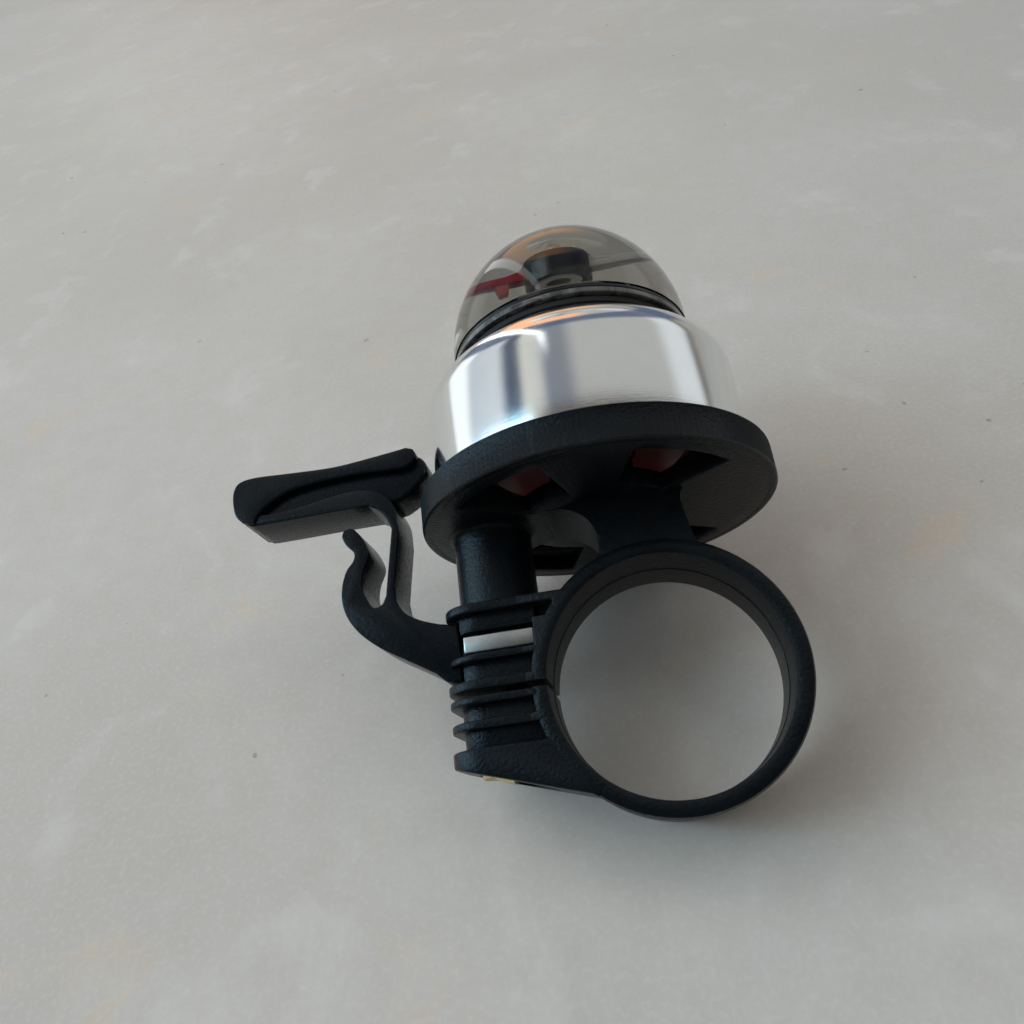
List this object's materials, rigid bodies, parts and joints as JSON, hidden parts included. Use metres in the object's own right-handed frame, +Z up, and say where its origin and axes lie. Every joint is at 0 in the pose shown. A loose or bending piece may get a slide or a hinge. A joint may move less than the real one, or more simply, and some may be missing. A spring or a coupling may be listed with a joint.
{
  "type": "bicycle bell",
  "caption": "Handlebar bell with a thumb lever, a polished cup on a clamp with a tightening screw, and a domed compass on top.",
  "frame": {"origin": "centre of the clamp's bore for the handlebar, halfway through the band", "axes": "+Z up along the bell's axis as mounted, +Y along the handlebar, +X away from the thumb lever"},
  "size_m": [0.0574, 0.0366, 0.0647],
  "materials": {
    "base_moulding": "fine spark texture, black",
    "lever_moulding": "satin black",
    "polished_aluminium": "polished",
    "red_moulding": "satin red",
    "white_moulding": "satin white",
    "compass_black": "glossy black",
    "clear_acrylic": "clear moulded acrylic",
    "dial_face": "printed disc",
    "bright_steel": "bright plated",
    "yellow_zinc": "yellow passivated zinc plate",
    "grey_fibre": "fibre washer",
    "black_rubber": "moulded rubber"
  },
  "bodies": {
    "bell_body": {"clamp_base": "base_moulding", "clamp_nut": "bright_steel", "clamp_washer": "bright_steel", "bell_cup": "polished_aluminium", "cup_bush": "red_moulding", "crown_washer": "grey_fibre", "spring_washer": "bright_steel", "centre_screw": "bright_steel", "compass_housing": "compass_black", "dome_seal": "black_rubber", "compass_dome": "clear_acrylic", "compass_dial": "dial_face", "pivot_pin": "bright_steel", "lever_root": "lever_moulding"},
    "lever": {"thumb_lever": "lever_moulding"},
    "compass_needle": {"needle_north": "red_moulding", "needle_south": "white_moulding", "needle_float": "compass_black", "needle_magnet": "bright_steel", "needle_jewel": "bright_steel"},
    "screw": {"clamp_screw": "yellow_zinc"}
  },
  "joints": [
    {"name": "lever_press", "type": "hinge", "parent": "bell_body", "child": "lever", "pos_m": [-0.02562, 0, 0.0153], "axis": [0, -1, 0], "range_deg": [-2.5, 24], "stiffness_Nm_per_rad": 0.15},
    {"name": "needle_turn", "type": "hinge", "parent": "bell_body", "child": "compass_needle", "pos_m": [-0.004, 0, 0.0446], "axis": [0, 0, 1], "continuous": true},
    {"name": "clamp_screw_turn", "type": "hinge", "parent": "bell_body", "child": "screw", "pos_m": [-0.0154, 0, -0.0076], "axis": [0, 0, 1], "continuous": true}
  ]
}
